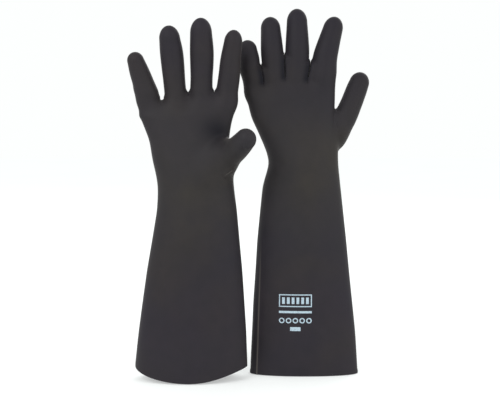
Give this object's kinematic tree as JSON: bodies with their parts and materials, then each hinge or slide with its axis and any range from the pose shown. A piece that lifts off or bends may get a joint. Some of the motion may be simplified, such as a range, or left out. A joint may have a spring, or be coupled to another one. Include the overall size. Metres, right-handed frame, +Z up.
{
  "type": "pair of long rubber gauntlet gloves",
  "caption": "Pair of long flared rubber gauntlet gloves, standing on their cuff rims: one palm forward, one back forward, with fingers, thumbs and wrists that flex.",
  "frame": {"origin": "middle of the pair's box at floor level, in the plane of the cuff rims", "axes": "+Z up from the cuff rims to the fingertips, +X from the right-hand glove to the left-hand glove, +Y away from the viewer who sees the right glove's palm and the left glove's back"},
  "size_m": [0.2993, 0.1305, 0.4614],
  "materials": {
    "black_rubber": "matt dipped natural rubber, slightly mottled"
  },
  "bodies": {
    "right_cuff": {"right_gauntlet": "black_rubber"},
    "right_hand": {"right_hand": "black_rubber"},
    "right_thumb_base": {"right_thumb_base": "black_rubber"},
    "right_thumb_tip": {"right_thumb_tip": "black_rubber"},
    "right_index_base": {"right_index_base": "black_rubber"},
    "right_index_tip": {"right_index_tip": "black_rubber"},
    "right_middle_base": {"right_middle_base": "black_rubber"},
    "right_middle_tip": {"right_middle_tip": "black_rubber"},
    "right_ring_base": {"right_ring_base": "black_rubber"},
    "right_ring_tip": {"right_ring_tip": "black_rubber"},
    "right_little_base": {"right_little_base": "black_rubber"},
    "right_little_tip": {"right_little_tip": "black_rubber"},
    "left_cuff": {"left_gauntlet": "black_rubber"},
    "left_hand": {"left_hand": "black_rubber"},
    "left_thumb_base": {"left_thumb_base": "black_rubber"},
    "left_thumb_tip": {"left_thumb_tip": "black_rubber"},
    "left_index_base": {"left_index_base": "black_rubber"},
    "left_index_tip": {"left_index_tip": "black_rubber"},
    "left_middle_base": {"left_middle_base": "black_rubber"},
    "left_middle_tip": {"left_middle_tip": "black_rubber"},
    "left_ring_base": {"left_ring_base": "black_rubber"},
    "left_ring_tip": {"left_ring_tip": "black_rubber"},
    "left_little_base": {"left_little_base": "black_rubber"},
    "left_little_tip": {"left_little_tip": "black_rubber"}
  },
  "joints": [
    {"name": "pair_spacing", "type": "slide", "parent": "right_cuff", "child": "left_cuff", "axis": [1, 0, 0], "range_m": [0, 0.2]},
    {"name": "right_wrist", "type": "hinge", "parent": "right_cuff", "child": "right_hand", "pos_m": [-0.0673, -0.0178, 0.24], "axis": [1, 0, 0], "range_deg": [0, 45], "stiffness_Nm_per_rad": 2},
    {"name": "right_thumb_root", "type": "hinge", "parent": "right_hand", "child": "right_thumb_base", "pos_m": [-0.04052, -0.01685, 0.27684], "axis": [0.374, 0, -0.9274], "range_deg": [0, 25], "stiffness_Nm_per_rad": 0.15},
    {"name": "right_thumb_knuckle", "type": "hinge", "parent": "right_thumb_base", "child": "right_thumb_tip", "pos_m": [-0.02634, -0.03503, 0.28102], "axis": [0.6334, 0, -0.7738], "range_deg": [0, 45], "stiffness_Nm_per_rad": 0.05},
    {"name": "right_index_root", "type": "hinge", "parent": "right_hand", "child": "right_index_base", "pos_m": [-0.0293, -0.0033, 0.354], "axis": [1, 0, 0], "range_deg": [0, 70], "stiffness_Nm_per_rad": 0.15},
    {"name": "right_index_knuckle", "type": "hinge", "parent": "right_index_base", "child": "right_index_tip", "pos_m": [-0.02548, -0.00677, 0.38289], "axis": [0.9989, 0, -0.0468], "range_deg": [0, 80], "stiffness_Nm_per_rad": 0.05},
    {"name": "right_middle_root", "type": "hinge", "parent": "right_hand", "child": "right_middle_base", "pos_m": [-0.0603, -0.0048, 0.354], "axis": [1, 0, 0], "range_deg": [0, 70], "stiffness_Nm_per_rad": 0.15},
    {"name": "right_middle_knuckle", "type": "hinge", "parent": "right_middle_base", "child": "right_middle_tip", "pos_m": [-0.05934, -0.0078, 0.38736], "axis": [0.9996, 0, -0.0298], "range_deg": [0, 80], "stiffness_Nm_per_rad": 0.05},
    {"name": "right_ring_root", "type": "hinge", "parent": "right_hand", "child": "right_ring_base", "pos_m": [-0.0919, -0.0044, 0.354], "axis": [1, 0, 0], "range_deg": [0, 70], "stiffness_Nm_per_rad": 0.15},
    {"name": "right_ring_knuckle", "type": "hinge", "parent": "right_ring_base", "child": "right_ring_tip", "pos_m": [-0.09437, -0.00735, 0.3855], "axis": [0.9972, 0, 0.0749], "range_deg": [0, 80], "stiffness_Nm_per_rad": 0.05},
    {"name": "right_little_root", "type": "hinge", "parent": "right_hand", "child": "right_little_base", "pos_m": [-0.1262, -0.0034, 0.354], "axis": [1, 0, 0], "range_deg": [0, 70], "stiffness_Nm_per_rad": 0.15},
    {"name": "right_little_knuckle", "type": "hinge", "parent": "right_little_base", "child": "right_little_tip", "pos_m": [-0.13239, -0.00584, 0.3724], "axis": [0.941, 0, 0.3385], "range_deg": [0, 80], "stiffness_Nm_per_rad": 0.05},
    {"name": "left_wrist", "type": "hinge", "parent": "left_cuff", "child": "left_hand", "pos_m": [0.0669, 0.0637, 0.27], "axis": [-1, 0, 0], "range_deg": [0, 45], "stiffness_Nm_per_rad": 2},
    {"name": "left_thumb_root", "type": "hinge", "parent": "left_hand", "child": "left_thumb_base", "pos_m": [0.1109, 0.0552, 0.308], "axis": [-0.2, 0, 0.9798], "range_deg": [0, 25], "stiffness_Nm_per_rad": 0.15},
    {"name": "left_thumb_knuckle", "type": "hinge", "parent": "left_thumb_base", "child": "left_thumb_tip", "pos_m": [0.12629, 0.05896, 0.3399], "axis": [-0.9482, 0, 0.3177], "range_deg": [0, 45], "stiffness_Nm_per_rad": 0.05},
    {"name": "left_index_root", "type": "hinge", "parent": "left_hand", "child": "left_index_base", "pos_m": [0.0886, 0.0502, 0.373], "axis": [-1, 0, 0], "range_deg": [0, 70], "stiffness_Nm_per_rad": 0.15},
    {"name": "left_index_knuckle", "type": "hinge", "parent": "left_index_base", "child": "left_index_tip", "pos_m": [0.0935, 0.05404, 0.40278], "axis": [-0.9713, 0, 0.238], "range_deg": [0, 80], "stiffness_Nm_per_rad": 0.05},
    {"name": "left_middle_root", "type": "hinge", "parent": "left_hand", "child": "left_middle_base", "pos_m": [0.0568, 0.0508, 0.373], "axis": [-1, 0, 0], "range_deg": [0, 70], "stiffness_Nm_per_rad": 0.15},
    {"name": "left_middle_knuckle", "type": "hinge", "parent": "left_middle_base", "child": "left_middle_tip", "pos_m": [0.05859, 0.05443, 0.40665], "axis": [-1, 0, 0.0046], "range_deg": [0, 80], "stiffness_Nm_per_rad": 0.05},
    {"name": "left_ring_root", "type": "hinge", "parent": "left_hand", "child": "left_ring_base", "pos_m": [0.0302, 0.0506, 0.373], "axis": [-1, 0, 0], "range_deg": [0, 70], "stiffness_Nm_per_rad": 0.15},
    {"name": "left_ring_knuckle", "type": "hinge", "parent": "left_ring_base", "child": "left_ring_tip", "pos_m": [0.0273, 0.05381, 0.40448], "axis": [-0.998, 0, -0.0636], "range_deg": [0, 80], "stiffness_Nm_per_rad": 0.05},
    {"name": "left_little_root", "type": "hinge", "parent": "left_hand", "child": "left_little_base", "pos_m": [0.0021, 0.0494, 0.373], "axis": [-1, 0, 0], "range_deg": [0, 70], "stiffness_Nm_per_rad": 0.15},
    {"name": "left_little_knuckle", "type": "hinge", "parent": "left_little_base", "child": "left_little_tip", "pos_m": [-0.00141, 0.0518, 0.39208], "axis": [-1, 0, 0.0028], "range_deg": [0, 80], "stiffness_Nm_per_rad": 0.05}
  ]
}
